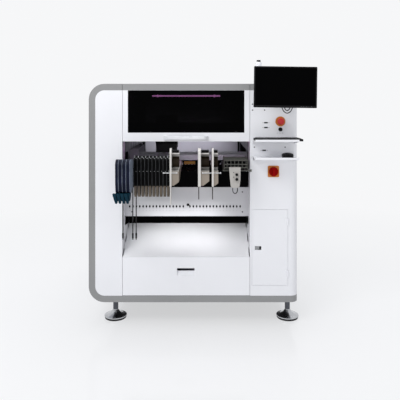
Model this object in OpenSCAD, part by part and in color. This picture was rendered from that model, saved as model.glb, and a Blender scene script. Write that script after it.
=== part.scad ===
// Floor-standing pick and place machine with a front feeder bank.
// X runs to the right, Y to the back and Z up. The front face lies near Y = 0 of the case, heights are
// taken from a plane that lies foot_drop above the floor, and every sub-part is shifted so that the
// whole machine is centred over the origin and stands on Z = 0.

/* [Case] */
// Depth of the case
case_d = 1400; // [1380:1:1500]
// Height of the case from its underside to its roof
case_h = 1319; // [1315:1:1360]
// Height of the underside above the plane that heights are taken from
ground_gap = 117; // [105:1:140]
// Thickness of the sheet-metal covers
sheet = 3; // [2:0.5:4]
// Width of the grey band along the left, top and bottom edges
band_w = 39; // [30:1:46]
// Depth of the grey band
band_d = 52; // [52:1:64]
// Outer radius of the two left corners
corner_r = 95; // [80:1:110]
// Radius of the right front edge, seen from above
edge_r = 46; // [38:1:50]
// Gap between neighbouring covers
seam = 2; // [1.5:0.5:3]
// Width of the left front panel, with its band
left_w = 203; // [195:1:215]
// Width of the open feeder bay
bay_w = 770; // [765:1:780]
// Width of the right cabinet
right_w = 291; // [284:1:300]

/* [Bay] */
// Height of the hood's lower edge above the floor
hood_z = 1088; // [1080:1:1100]
// Depth of the bay, from the front face to the hole panel
bay_d = 108; // [100:1:120]
// Height of the hole panel's lower edge
hole_panel_z = 613; // [600:1:620]
// Height of the top of the hole panel, where the feeder bank starts
bank_z = 794; // [785:1:800]
// Height of the feeder table above the floor
table_z = 900; // [890:1:904]
// Height of the upper edge of the sloping chute
chute_top_z = 535; // [520:1:550]
// Height of the chute's front edge
chute_front_z = 394; // [380:1:400]
// Depth of the chute, from the front edge to its upper edge
chute_d = 256; // [240:1:270]
// Height of the drawer front
drawer_h = 232; // [222:1:232]
// Width of one feeder station
station_pitch = 20.9; // [20.5:0.1:21]
// Diameter of the holes in the hole panel
peg_hole_d = 9; // [6:0.5:10]

/* [Hood] */
// Distance from the front face to the hood's hinge
hinge_y = 520; // [500:1:560]
// Thickness of the hood's front frame
hood_t = 24; // [20:1:30]
// Width of the window
window_w = 704; // [690:1:708]
// Height of the window
window_h = 256; // [246:1:260]
// Thickness of the window
window_t = 5; // [4:0.5:6]
// Length of the hood's handle
handle_w = 272; // [240:1:300]
// Length of the light bar
light_w = 413; // [380:1:440]

/* [Cabinet] */
// Width of the cabinet door
door_w = 215; // [205:1:220]
// Height of the cabinet door
door_h = 456; // [440:1:470]
// Height of the door's lower edge above the floor
door_z = 220; // [215:1:230]
// Side of the main switch's square plate
switch_side = 68; // [60:1:72]
// Diameter of the main switch's knob
switch_d = 56; // [50:1:58]
// Diameter of the emergency stop's button
stop_d = 40; // [36:1:44]
// Diameter of the ring behind the emergency stop
stop_ring_d = 60; // [56:1:64]
// Travel of the emergency stop
stop_travel = 6; // [4:0.5:7]

/* [Screen and trays] */
// Width of the monitor
monitor_w = 350; // [340:1:360]
// Height of the monitor
monitor_h = 229; // [220:1:236]
// Thickness of the monitor
monitor_t = 22; // [18:1:26]
// Distance from the front face to the back of the monitor
monitor_gap = 234; // [225:1:245]
// Height of the monitor's centre above the floor
monitor_z = 1408; // [1402:1:1416]
// Roll of the monitor, clockwise from the front
monitor_roll = 0.8; // [0:0.1:1.5]
// Width of the keyboard and mouse trays
tray_w = 252; // [240:1:256]
// Depth of the trays, from the front face to their lips
tray_d = 165; // [155:1:175]
// Width of the keyboard
keyboard_w = 272; // [262:1:280]

/* [Feet] */
// Diameter of the foot discs
foot_d = 140; // [130:1:150]
// Diameter of the foot spindles
spindle_d = 32; // [28:1:36]
// Height above the floor of the plane that all other heights are taken from
foot_drop = 28; // [22:1:34]
// Thickness of the rubber pads
pad_h = 10; // [8:1:12]

/* [Motion] */
// Width of the gantry beam, front to back
beam_d = 90; // [80:1:100]
// Height of the gantry beam's underside above the floor
beam_z = 1090; // [1085:1:1100]
// Distance between two nozzles
nozzle_pitch = 34; // [32:1:36]
// Height of the board plane above the floor
board_z = 945; // [940:1:948]

/* [Hidden] */
$fn = 48;
// Clearance between pieces that rest on or beside each other
fit = 0.3;
// Radial running clearance of pins and shafts
run = 0.05;
// Case
case_w = left_w + bay_w + right_w;
case_top = ground_gap + case_h;
bay_x0 = left_w;
bay_x1 = left_w + bay_w;
bay_mid = (bay_x0 + bay_x1) / 2;
wall_x0 = bay_x0 - seam / 2;
wall_x1 = bay_x1 + seam / 2;
front_return = 40;
right_wrap = edge_r + 30;
// Frame tubes
tube = 50;
post_y = bay_d + sheet + fit;
post_x0 = wall_x0 - 7 - tube;
post_x1 = wall_x1 + 7;
rear_post_y = case_d - 160;
frame_z = ground_gap + sheet;
roof_z = case_top - sheet;
// Feet
foot_x0 = 140;
foot_x1 = case_w - 43;
foot_y0 = 135;
foot_y1 = case_d - 135;
// Hood hinges, rear door and drawer runners
hinge_x = [bay_x0 + 120, bay_x1 - 170];
rear_door_x0 = 240;
rear_door_x1 = 940;
rear_door_z = 220;
rear_door_h = 470;
pull_w = 106;
pull_x0 = bay_mid - 2 - pull_w / 2;
pull_z0 = 276;
pull_z1 = 322;
runner_w = 12;
runner_z = 215;
// Machine bed and travel
bed_z = 760;
bed_h = 40;
bed_y = 320;
beam_y = 475;
nozzle_y = 420;
nozzle_stroke = 18;
nozzle_tip_z = board_z + 3 + nozzle_stroke;
head_x = 440;
head_w = 150;
head_z = 985;
rail_y = 600;
rail_gap = 250;
rail_top = board_z + 1;
rail_l = case_w - 10;
tunnel_y0 = rail_y - 26;
tunnel_y1 = rail_y + 352;
tunnel_z0 = board_z - 28;
tunnel_z1 = board_z + 48;
tunnel_l = 225;
side_rail_w = 60;
side_rail_z = 1000;
screw_x = 330;
screw_z = 885;
screw_d = 14;
// Feeder bank
hole_x = 232;
station_x = 219.5;
bank_back = 300;
dock_z = board_z - 3;
feeder_w = station_pitch - 2.9;
// Front right cabinet
door_x = case_w - 62.5;
door_knuckle = 4;
lock_x = door_x - door_w + 35.5;
lock_z = 444;
cam_x = lock_x - 4;
lock_cam = 25;
switch_x = case_w - 149;
switch_z = 907;
stop_x = case_w - 107;
stop_z = 1209;
// The stop's cap stands off its ring by its travel and a little more
stop_cap_z = stop_travel + 8;
key_z = 1161;
shelf_x = bay_x1 + 17;
mouse_shelf_z = 997;
mouse_x = case_w - 78;
mouse_y = -92;
key_shelf_z = 1100;
// Signal tower
tower_x = case_w - 201;
tower_y = 350;
// Monitor
monitor_x = case_w - 116;
arm_z = 1352;
pivot_y = -46;
// The monitor's right edge and the navy handles' tips set the size of the whole machine
far_right = monitor_x + (monitor_w * cos(monitor_roll) + monitor_h * sin(monitor_roll)) / 2;
feeder_reach = 300;
handle_reach = feeder_reach + 8;
rear_knuckle = 6;
rear_knuckle_y = case_d - 20 + rear_knuckle + fit;
far_back = case_d;
x_mid = far_right / 2;
y_mid = (far_back - handle_reach) / 2;

nozzle_count = 4;
nozzle_d = 12;
function nozzle_x(k) = head_x + nozzle_pitch * (k - (nozzle_count - 1) / 2);

// Wide feeders: left edge, width and width of the spine
wide = [[501, 51, 10], [662, 64, 16], [741, 36, 10]];

// Cords: air hoses in Y and Z, and loops in X, Y and Z
hose_d = 6;
hoses = [[222, 866.9], [280, 866.9], [300, 845.6]];
hose_route = [[-100, 820], [-99, 760], [-102, 680], [-100, 600], [-100, 560.3]];
lead_d = 5;
monitor_loops = [
    [[1128, -238, 1323.5], [1130, -238, 1297.5], [1141, -238, 1273.5], [1160, -238, 1263.5],
     [1179, -238, 1273.5], [1190, -238, 1297.5], [1192, -238, 1322.6]],
    [[1142, -238, 1323.5], [1143, -238, 1300.5], [1150, -238, 1283.5], [1160, -238, 1278.5],
     [1170, -238, 1283.5], [1177, -238, 1300.5], [1178, -238, 1322.8]],
];
box_loop = [[862, -145, 832.6], [861, -145, 818], [866, -145, 804], [875, -145, 799],
            [884, -145, 804], [889, -145, 818], [888, -145, 832.6]];

// Moves the machine so that its box is centred over the origin
module centred() translate([-x_mid, -y_mid, foot_drop]) children();

// A block between two corners
module block(lo, hi) translate(lo) cube(hi - lo);

// Extrudes an outline drawn in X and Z, from y to y + t
module face(y, t) translate([0, y + t, 0]) rotate([90, 0, 0]) linear_extrude(t) children();

// Extrudes an outline drawn in Y and Z, from x to x + w
module side(x, w) translate([x, 0, 0]) rotate([90, 0, 90]) linear_extrude(w) children();

// Cylinders along each axis, starting at a point
module rod_x(p, d, l) translate(p) rotate([0, 90, 0]) cylinder(d = d, h = l);
module rod_y(p, d, l) translate(p) rotate([-90, 0, 0]) cylinder(d = d, h = l);
module rod_z(p, d, l) translate(p) cylinder(d = d, h = l);

// A rectangle with round corners, from its lower left corner
module round_rect(w, h, r) {
    translate([r, 0]) square([w - 2 * r, h]);
    translate([0, r]) square([w, h - 2 * r]);
    for (x = [r, w - r], y = [r, h - r]) translate([x, y]) circle(r);
}

// Points on an arc about c, from angle a0 to a1
function arc(c, r, a0, a1, n = 6) =
    [for (i = [0:n]) let (a = a0 + (a1 - a0) * i / n) [c[0] + r * cos(a), c[1] + r * sin(a)]];

// The case's outline from the front, drawn in from its left, top and bottom edges
module case_outline(inset) {
    r = corner_r - inset;
    z0 = ground_gap + inset;
    z1 = case_top - inset;
    translate([inset + r, z0]) square([case_w - inset - r, z1 - z0]);
    translate([inset, z0 + r]) square([r, z1 - z0 - 2 * r]);
    for (z = [z0 + r, z1 - r]) translate([inset + r, z]) circle(r);
}

// The case from above, with its right front edge rounded, drawn in by an inset
module case_plan(inset, x0, y1) {
    r = edge_r - inset;
    translate([x0, inset]) square([case_w - edge_r - x0, y1 - inset]);
    translate([x0, edge_r]) square([case_w - inset - x0, y1 - edge_r]);
    translate([case_w - edge_r, edge_r]) intersection() {
        circle(r);
        translate([0, -edge_r]) square(edge_r);
    }
}

// ---- Frame and feet ----

module base_frame() centred() color("#202226") {
    difference() {
        union() {
            // Floor plate and the two long bottom tubes that carry the feet
            block([corner_r + 1, band_d + 1, ground_gap], [case_w - sheet - 1, case_d - band_d - 1, frame_z]);
            for (x = [foot_x0, foot_x1]) {
                block([x - tube / 2, band_d + 4, frame_z - 0.1],
                      [x + tube / 2, case_d - band_d - 4, frame_z + tube]);
            }
            // Cross tubes over the feet
            for (y = [foot_y0, foot_y1]) {
                block([foot_x0, y - tube / 2, frame_z - 0.1], [foot_x1, y + tube / 2, frame_z + tube]);
            }
            // Four posts
            for (x = [post_x0, post_x1], y = [post_y, rear_post_y]) {
                block([x, y, frame_z + 10], [x + tube, y + tube, roof_z - fit]);
            }
            // Top rails, front to back
            for (x = [post_x0, post_x1]) {
                block([x, post_y, roof_z - fit - tube], [x + tube, rear_post_y + tube, roof_z - fit]);
                block([x, post_y, bed_z - tube], [x + tube, rear_post_y + tube, bed_z - fit]);
            }
            // Hinge beam under the roof, rear top rail and the bed's cross tubes
            for (y = [hinge_y + 24, rear_post_y]) {
                block([post_x0, y, roof_z - fit - tube], [post_x1 + tube, y + tube, roof_z - fit]);
            }
            for (y = [bed_y + 10, rear_post_y]) {
                block([post_x0, y, bed_z - tube], [post_x1 + tube, y + tube, bed_z - fit]);
            }
        }
        for (x = [foot_x0, foot_x1], y = [foot_y0, foot_y1]) {
            rod_z([x, y, ground_gap - 1], spindle_d + 2 * fit, tube);
        }
    }
}

// A levelling foot: a flared disc, a spindle and its lock nut
module foot() {
    underside = foot_drop + ground_gap;
    flare_r = foot_d / 2 - 10;
    rotate_extrude() polygon(concat(
        [[0, pad_h + fit], [foot_d / 2 - 3, pad_h + fit], [foot_d / 2, pad_h + 3], [foot_d / 2 - 1, pad_h + 8]],
        arc([foot_d / 2 + 0.5, pad_h + flare_r + 9], flare_r, 266, 211, 8),
        [[spindle_d / 2 + 1, pad_h + 40], [spindle_d / 2, pad_h + 42],
         [spindle_d / 2, underside + tube - 8], [0, underside + tube - 8]]));
    translate([0, 0, underside - 12]) cylinder(d = spindle_d + 16, h = 12 - fit, $fn = 6);
}

module levelling_feet() centred() color("#c9ccd0") {
    for (x = [foot_x0, foot_x1], y = [foot_y0, foot_y1]) translate([x, y, -foot_drop]) foot();
}

module foot_pads() centred() color("#1b1b1d") {
    for (x = [foot_x0, foot_x1], y = [foot_y0, foot_y1]) {
        translate([x, y, -foot_drop]) rotate_extrude() polygon(
            [[0, 0], [foot_d / 2 - 5, 0], [foot_d / 2 - 3, 3], [foot_d / 2 - 4, pad_h], [0, pad_h]]);
    }
}

// ---- Case ----

// One grey band: a channel bent round the left side, the bottom and the top
module grey_band(y, back_y) {
    intersection() {
        difference() {
            face(y, band_d) difference() {
                case_outline(0);
                case_outline(band_w);
            }
            face(back_y, band_d) intersection() {
                difference() {
                    case_outline(sheet);
                    case_outline(band_w - sheet);
                }
                square([case_w - edge_r, case_top]);
            }
        }
        children();
    }
}

module grey_bands() centred() color("#929396") {
    // The front band stops at the hood and is rounded at the right
    difference() {
        grey_band(0, sheet) translate([0, 0, ground_gap]) linear_extrude(case_h) case_plan(0, -1, band_d);
        block([bay_x0 - seam / 2, -1, case_top - band_w - 1], [bay_x1 + seam / 2, band_d + 1, case_top + 1]);
    }
    grey_band(case_d - band_d, case_d - band_d - sheet) {
        block([-1, case_d - band_d - 1, 0], [case_w, case_d + 1, case_top + 1]);
    }
}

module left_panel() centred() color("#eef0f4") {
    difference() {
        face(0, front_return) intersection() {
            case_outline(band_w + fit);
            square([wall_x0, case_top]);
        }
        face(sheet, front_return) intersection() {
            case_outline(band_w + fit + sheet);
            square([wall_x0 - sheet, case_top]);
        }
    }
}

// The white front of the right side, with its round edge and its door opening
module right_cabinet() centred() color("#eef0f4") {
    z0 = ground_gap + band_w + fit;
    z1 = case_top - band_w - fit;
    gap = seam;
    difference() {
        translate([0, 0, z0]) linear_extrude(z1 - z0) difference() {
            case_plan(0, wall_x1, right_wrap);
            case_plan(sheet, wall_x1 + sheet, right_wrap + 1);
        }
        block([wall_x1 - 1, front_return, z0 - 1], [wall_x1 + sheet + 1, right_wrap + 1, z1 + 1]);
        block([door_x - door_w - gap, -1, door_z - gap], [door_x + gap, sheet + 1, door_z + door_h + gap]);
        // Holes behind the controls, the ports and the lock
        rod_y([switch_x, -1, switch_z], 24, sheet + 2);
        rod_y([stop_x, -1, stop_z], 23, sheet + 2);
        rod_y([stop_x, -1, key_z], 17, sheet + 2);
    }
    // Rebate that the door closes in front of, and the fixed hinge knuckles with their pins
    difference() {
        block([door_x - door_w - 9, sheet - 0.1, door_z - 14], [door_x + 5, sheet + 2, door_z + door_h + 14]);
        block([door_x - door_w - gap, 0, door_z - gap], [door_x + gap, sheet + fit, door_z + door_h + gap]);
        block([door_x - door_w + 14, 0, door_z + 14], [door_x - 8, 20, door_z + door_h - 14]);
    }
    for (z = [door_z + 50, door_z + door_h - 90]) {
        rod_z([door_x + gap / 2, -door_knuckle - fit, z], 2 * door_knuckle, 20);
        rod_z([door_x + gap / 2, -door_knuckle - fit, z + 19], 4, 20);
        block([door_x + gap / 2, -fit - 2, z], [door_x + 6, 0.1, z + 20]);
    }
}

module side_skins() centred() color("#e9ebef") {
    difference() {
        union() {
            face(band_d + fit, case_d - 2 * band_d - 2 * fit) difference() {
                intersection() {
                    case_outline(0);
                    translate([-1, 0]) square([corner_r + 1 - fit, case_top + 1]);
                }
                case_outline(sheet);
            }
            block([case_w - sheet, right_wrap + fit, ground_gap], [case_w, case_d - band_d - fit, case_top]);
            block([case_w - sheet, right_wrap + fit, ground_gap + band_w + fit],
                  [case_w, case_d, case_top - band_w - fit]);
            // Strips under and over the cabinet's round edge
            for (z = [ground_gap, case_top - band_w]) {
                block([case_w - sheet, band_d + fit, z], [case_w, right_wrap + fit + 0.1, z + band_w]);
            }
        }
        // Board entry and exit, and the cooling slots behind them
        block([-1, tunnel_y0 + 2, tunnel_z0 + 2], [case_w + 1, tunnel_y1 - 2, tunnel_z1 - 2]);
        for (k = [0:11]) {
            translate([-1, 1060 + k * 14, 320]) cube([case_w + 2, 6, 180]);
        }
    }
}

module roof_panel() centred() color("#e9ebef") {
    difference() {
        block([corner_r + fit, band_d + fit, roof_z], [case_w - sheet - fit, case_d - band_d - fit, case_top]);
        block([bay_x0 - seam / 2, 0, roof_z - 1], [bay_x1 + seam / 2, hinge_y + 16, case_top + 1]);
    }
    // Hinge brackets and their pins, which stand on the beam under the roof
    for (x = hinge_x) {
        block([x + 30.4, hinge_y - 8, roof_z - 22], [x + 42, hinge_y + 24 - fit, roof_z - fit]);
        rod_x([x - 20, hinge_y, roof_z - 9], 8, 52);
    }
}

module rear_panel() centred() color("#9d9aa6") {
    difference() {
        face(case_d - sheet - 20, sheet) intersection() {
            case_outline(band_w + fit);
            square([case_w - sheet - fit, case_top]);
        }
        block([rear_door_x0 - seam, 0, rear_door_z - seam],
              [rear_door_x1 + seam, case_d + 1, rear_door_z + rear_door_h + seam]);
    }
}

module bay_walls() centred() color("#e4e6ea") {
    z0 = frame_z + tube + fit;
    z1 = case_top - band_w - fit;
    outline = [[front_return + fit, z0], [560, z0], [560, chute_top_z - 40],
               [bay_d - fit, chute_top_z + 20], [bay_d - fit, z1], [front_return + fit, z1]];
    for (x = [wall_x0 - sheet, wall_x1]) side(x, sheet) polygon(outline);
    // Drawer runners
    block([wall_x0 - 0.1, 60, runner_z], [wall_x0 + runner_w, 540, runner_z + 34]);
    block([wall_x1 - runner_w, 60, runner_z], [wall_x1 + 0.1, 540, runner_z + 34]);
}

// Hole panel behind the hanging tapes, with one row of holes for each bank of stations
module hole_panel() centred() color("#c6c7cc") {
    difference() {
        block([post_x0 + 5, bay_d, hole_panel_z], [post_x1 + tube - 5, bay_d + sheet, bank_z - fit]);
        for (k = [0:32]) {
            x = hole_x + station_pitch * (k > 16 ? k + 1 : k);
            rod_y([x, bay_d - 1, 674], peg_hole_d, sheet + 2);
        }
        rod_y([596, bay_d - 1, 684], 16, sheet + 2);
    }
}

module chute() centred() color("#eceef3") {
    slope = [[0, chute_front_z], [chute_d, chute_top_z], [chute_d + 24, chute_top_z - 8],
             [chute_d + 24, chute_top_z - 60], [chute_d + 22, chute_top_z - 60],
             [chute_d + 22, chute_top_z - 10], [chute_d, chute_top_z - 2.4], [0, chute_front_z - 2.4]];
    side(bay_x0 + 5, bay_w - 10) polygon(slope);
    // Lugs that screw to the bay walls
    for (x = [wall_x0 + fit, wall_x1 - fit - 6], y = [70, 180]) {
        z = chute_front_z + (chute_top_z - chute_front_z) * y / chute_d;
        side(x, 6) polygon([[y, z - 1], [y + 40, z + 21], [y + 40, z - 16], [y, z - 24]]);
    }
}

// Drawer for cut-off tape, with a cup pull
module front_drawer() centred() color("#eceef3") {
    x0 = bay_x0 + seam / 2;
    x1 = bay_x1 - seam / 2;
    z0 = ground_gap + band_w + seam;
    z1 = z0 + drawer_h;
    box_x0 = wall_x0 + runner_w + 0.3;
    box_x1 = wall_x1 - runner_w - 0.3;
    difference() {
        union() {
            // Front pan, and the back plate that the box hangs on
            difference() {
                block([x0, 0, z0], [x1, 24, z1]);
                block([x0 + sheet, sheet, z0 + sheet], [x1 - sheet, 25, z1 - sheet]);
            }
            block([x0 + 1, 21, z0 + 1], [x1 - 1, 24, z1 - 22]);
            block([pull_x0 - 5, sheet - 0.1, pull_z0 - 6], [pull_x0 + pull_w + 5, 22, pull_z1 + 6]);
            // Box behind the front
            difference() {
                block([box_x0, 23.9, z0 + 16], [box_x1, 520, z1 - 22]);
                block([box_x0 + 2, 26, z0 + 18], [box_x1 - 2, 518, z1]);
            }
        }
        // Cup of the pull: a sloping floor, and a slot into the box under the upper edge
        side(pull_x0, pull_w) polygon([[-1, pull_z0], [2, pull_z0], [18, pull_z0 + 26], [27, pull_z0 + 26],
                                       [27, pull_z1], [-1, pull_z1]]);
    }
}

// Louvred service door at the back, on two knuckle hinges
module rear_door() centred() color("#9d9aa6") {
    y = case_d - sheet - 20;
    difference() {
        union() {
            block([rear_door_x0, y, rear_door_z], [rear_door_x1, y + sheet, rear_door_z + rear_door_h]);
            block([rear_door_x0 + 10, y - 16, rear_door_z + 10],
                  [rear_door_x1 - 10, y + 0.1, rear_door_z + rear_door_h - 10]);
        }
        block([rear_door_x0 + 12, y - 17, rear_door_z + 12],
              [rear_door_x1 - 12, y, rear_door_z + rear_door_h - 12]);
        for (k = [0:13], x = [rear_door_x0 + 80, rear_door_x1 - 280]) {
            translate([x, y - 1, rear_door_z + 250 + k * 13]) cube([200, sheet + 2, 5]);
        }
    }
    // Sprung latch and the moving knuckles
    rod_y([rear_door_x1 - 40, y + sheet - 0.1, rear_door_z + 200], 26, 6);
    for (z = [rear_door_z + 50, rear_door_z + rear_door_h - 90]) {
        difference() {
            union() {
                rod_z([rear_door_x0 - seam / 2, rear_knuckle_y, z + 20 + fit], 2 * rear_knuckle, 19);
                block([rear_door_x0 - seam / 2, y + sheet + fit, z + 20 + fit],
                      [rear_door_x0 + 20, y + sheet + 2.5, z + 39 + fit]);
                block([rear_door_x0 + 6, y + sheet - 0.1, z + 20 + fit],
                      [rear_door_x0 + 20, y + sheet + 2.5, z + 39 + fit]);
            }
            rod_z([rear_door_x0 - seam / 2, rear_knuckle_y, z + 19], 5 + 2 * run, 22);
        }
    }
}

// Computer and power supplies behind the cabinet door, standing on the floor plate
module control_computer() centred() color("#6c7076") {
    x0 = post_x1 + 10;
    x1 = foot_x1 - tube / 2 - 6;
    difference() {
        union() {
            block([x0, 190, frame_z + fit], [x1, 600, 640]);
            block([x0 + 16, 176, 230], [x1 - 16, 190.1, 300]);
        }
        block([x0 + 3, 191, frame_z + tube], [x1 - 3, 597, 637]);
        for (k = [0:9]) translate([x0 + 22, 180, 350 + k * 22]) cube([x1 - x0 - 44, 20, 8]);
    }
    for (k = [0:2]) {
        block([x0 + 24 + 36 * k, 168, 242], [x0 + 50 + 36 * k, 176.1, 288]);
    }
}

// ---- Machine bed, feeder bank and travel axes ----

// Cast bed with a rib round its underside and a well under the boards
module machine_bed() centred() color("#3a3d42") {
    difference() {
        block([post_x0, bed_y, bed_z], [post_x1 + tube, rear_post_y - fit, bed_z + bed_h]);
        block([post_x0 + 90, bed_y + 40, bed_z - 1], [post_x1 - 40, rear_post_y - 60, bed_z + bed_h - 14]);
        translate([bay_mid - 60, rail_y + 60, bed_z - 1]) cube([120, 140, bed_h + 2]);
    }
}

// Feeder table: one groove for each station, with the plug wall behind them
module feeder_bank() centred() color("#141518") {
    x0 = post_x0 + tube + fit;
    x1 = post_x1 - fit;
    front = bay_d + sheet + fit;
    difference() {
        union() {
            block([x0, front, bank_z], [x1, bank_back, table_z]);
            block([x0, bank_back - 14, table_z - 0.1], [x1, bank_back, dock_z]);
            // Apron that closes the space above the chute
            block([wall_x0 + fit, bank_back - sheet, chute_top_z - 95], [wall_x1 - fit, bank_back, bank_z + 0.1]);
        }
        // Hollow underneath
        block([x0 + 12, front + 14, bank_z - 1], [x1 - 12, bank_back - sheet - 1, table_z - 22]);
        for (k = [0:33]) {
            x = station_x + station_pitch * k;
            translate([x - 4, front - 1, table_z - 7]) cube([8, bank_back - front - 19, 8]);
            translate([x - 4, bank_back - 16, table_z + 12]) cube([8, 20, 14]);
        }
    }
}

// Two side beams on castings, each with a guide rail on top
module gantry_rails() centred() color("#4a4d52") {
    for (x = [post_x0 - 15, post_x1 + 5]) {
        block([x, 200, side_rail_z], [x + side_rail_w, rear_post_y - 6, side_rail_z + side_rail_w]);
        difference() {
            block([x + 20, 210, side_rail_z + side_rail_w - 0.1],
                  [x + 40, rear_post_y - 16, side_rail_z + side_rail_w + 18]);
            for (s = [0, 1]) {
                translate([x + (s == 0 ? 18 : 37), 205, side_rail_z + side_rail_w + 6])
                    cube([5, rear_post_y - 215, 5]);
            }
        }
        // Castings that stand on the bed
        for (y = [bed_y + 10, rear_post_y - 150]) {
            side(x + 6, side_rail_w - 12) polygon([
                [y, bed_z + bed_h], [y + 130, bed_z + bed_h], [y + 95, 880],
                [y + 110, side_rail_z + 1], [y + 20, side_rail_z + 1], [y + 35, 880]]);
        }
    }
}

// Cross beam that slides front to back, with two guide rails on its face
module gantry_beam() centred() color("#1e2024") {
    x0 = post_x0 - 20;
    x1 = post_x1 + side_rail_w + 10;
    difference() {
        block([x0, beam_y, beam_z], [x1, beam_y + beam_d, beam_z + 90]);
        for (k = [0:8]) {
            block([x0 + 40 + k * 100, beam_y + 12, beam_z + 12], [x0 + 120 + k * 100, beam_y + beam_d - 12, beam_z + 100]);
        }
    }
    for (z = [beam_z + 8, beam_z + 68]) {
        block([x0 + 60, beam_y - 10, z], [x1 - 60, beam_y + 0.1, z + 14]);
    }
    // Carriage shoes over the side rails
    for (x = [post_x0 - 15, post_x1 + 5]) {
        difference() {
            block([x + 2, beam_y + 5, side_rail_z + side_rail_w + 4],
                  [x + side_rail_w - 2, beam_y + beam_d - 5, beam_z + 0.1]);
            block([x + 19.4, beam_y, side_rail_z + side_rail_w + 3],
                  [x + 40.6, beam_y + beam_d, side_rail_z + side_rail_w + 18 + fit]);
        }
    }
}

// Placement head: a back plate on the beam's rails, the nozzle block and a cover
module placement_head() centred() color("#101114") {
    x0 = head_x - head_w / 2;
    x1 = head_x + head_w / 2;
    back = beam_y - 10 - fit;
    difference() {
        union() {
            block([x0, back - 14, head_z + 30], [x1, back, beam_z + 120]);
            block([x0 + 4, nozzle_y - 24, head_z], [x1 - 4, back - 13.9, head_z + 60]);
            // Cover with a sloping brow
            side(x0 + 2, head_w - 4) polygon([
                [back - 13.9, head_z + 59.9], [nozzle_y - 30, head_z + 59.9], [nozzle_y - 60, head_z + 100],
                [nozzle_y - 60, beam_z + 90], [nozzle_y - 40, beam_z + 150], [back - 13.9, beam_z + 150]]);
        }
        for (k = [0:nozzle_count - 1]) {
            rod_z([nozzle_x(k), nozzle_y, head_z - 1], nozzle_d + 2 * run, 62);
            rod_z([nozzle_x(k), nozzle_y, head_z + 40], nozzle_d + 12, 100);
        }
        // Camera window beside the nozzles
        rod_z([head_x, nozzle_y - 44, head_z + 50], 20, 30);
    }
    for (z = [beam_z + 8, beam_z + 68]) {
        block([x0 + 10, back - 0.1, z - 4], [x1 - 10, back + 8, z - fit]);
    }
}

// One nozzle spindle with its collar and its stepped tip
module nozzle(k) centred() color("#b9bcc2") {
    translate([nozzle_x(k), nozzle_y, 0]) {
        rotate_extrude() polygon([
            [0, nozzle_tip_z], [1.2, nozzle_tip_z], [1.6, nozzle_tip_z + 5], [7, nozzle_tip_z + 7],
            [7, nozzle_tip_z + 9], [nozzle_d / 2, nozzle_tip_z + 10], [nozzle_d / 2, head_z + 64],
            [nozzle_d / 2 + 4, head_z + 64], [nozzle_d / 2 + 4, head_z + 72], [0, head_z + 72]]);
    }
}

module nozzle_1() nozzle(0);
module nozzle_2() nozzle(1);
module nozzle_3() nozzle(2);
module nozzle_4() nozzle(3);

// Two cameras on the bed that look up at the nozzles, each in its lamp ring
module upward_cameras() centred() color("#24262a") {
    for (x = [bay_mid - 90, bay_mid + 90]) translate([x, 400, 0]) {
        rotate_extrude() polygon([
            [0, bed_z + bed_h], [34, bed_z + bed_h], [34, bed_z + bed_h + 8], [19, bed_z + bed_h + 12],
            [19, 880], [44, 896], [44, 926], [40, 926], [24, 900], [16, 900], [16, 890], [0, 890]]);
    }
}

// Rack of spare nozzles on two posts
module nozzle_rack() centred() color("#8e9298") {
    difference() {
        union() {
            block([250, 360, 905], [420, 420, 917]);
            for (x = [262, 392]) block([x, 372, bed_z + bed_h], [x + 16, 408, 905.1]);
        }
        for (i = [0:5], j = [0, 1]) {
            rod_z([270 + i * 26, 376 + j * 28, 904], 15, 14);
        }
    }
}

// A conveyor rail along X: a web, a belt ledge and end pulleys' housings, on feet
module conveyor_rail(y, inner) {
    side(5, rail_l) polygon(inner > 0 ?
        [[y, 900], [y + 10, 900], [y + 10, 934], [y + 18, 934], [y + 18, 940], [y + 10, 940],
         [y + 10, rail_top], [y, rail_top]] :
        [[y, 900], [y - 10, 900], [y - 10, 934], [y - 18, 934], [y - 18, 940], [y - 10, 940],
         [y - 10, rail_top], [y, rail_top]]);
}

module fixed_rail() centred() color("#9da1a6") {
    conveyor_rail(rail_y, 1);
    // Stands on the bed, with bearing blocks for the width screw
    for (x = [screw_x - 20, bay_x1 - 120]) {
        difference() {
            block([x, rail_y - 30, bed_z + bed_h], [x + 40, rail_y + 0.1, 925]);
            rod_y([x + 20, rail_y - 31, screw_z], screw_d + 2 * run, 40);
        }
    }
    difference() {
        block([screw_x - 20, rail_y + 330, bed_z + bed_h], [screw_x + 20, rail_y + 350, screw_z + 25]);
        rod_y([screw_x, rail_y + 329, screw_z], screw_d + 2 * run, 22);
    }
}

module moving_rail() centred() color("#9da1a6") {
    conveyor_rail(rail_y + rail_gap, -1);
    // Nut block on the screw
    difference() {
        block([screw_x - 18, rail_y + rail_gap, screw_z - 16], [screw_x + 18, rail_y + rail_gap + 26, 925]);
        rod_y([screw_x, rail_y + rail_gap - 2, screw_z], screw_d + 2 * run, 40);
    }
}

// Width screw with its handwheel in front of the fixed rail
module width_screw() centred() color("#bfc3c8") {
    rod_y([screw_x, rail_y - 60, screw_z], screw_d, 415);
    rod_y([screw_x, rail_y - 34, screw_z], screw_d + 8, 3.6);
    difference() {
        rod_y([screw_x, rail_y - 60, screw_z], 56, 14);
        for (a = [0:60:300]) {
            translate([screw_x, 0, screw_z]) rotate([0, a, 0]) rod_y([19, rail_y - 61, 0], 11, 16);
        }
    }
    rod_y([screw_x + 22, rail_y - 78, screw_z], 8, 20);
}

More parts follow.
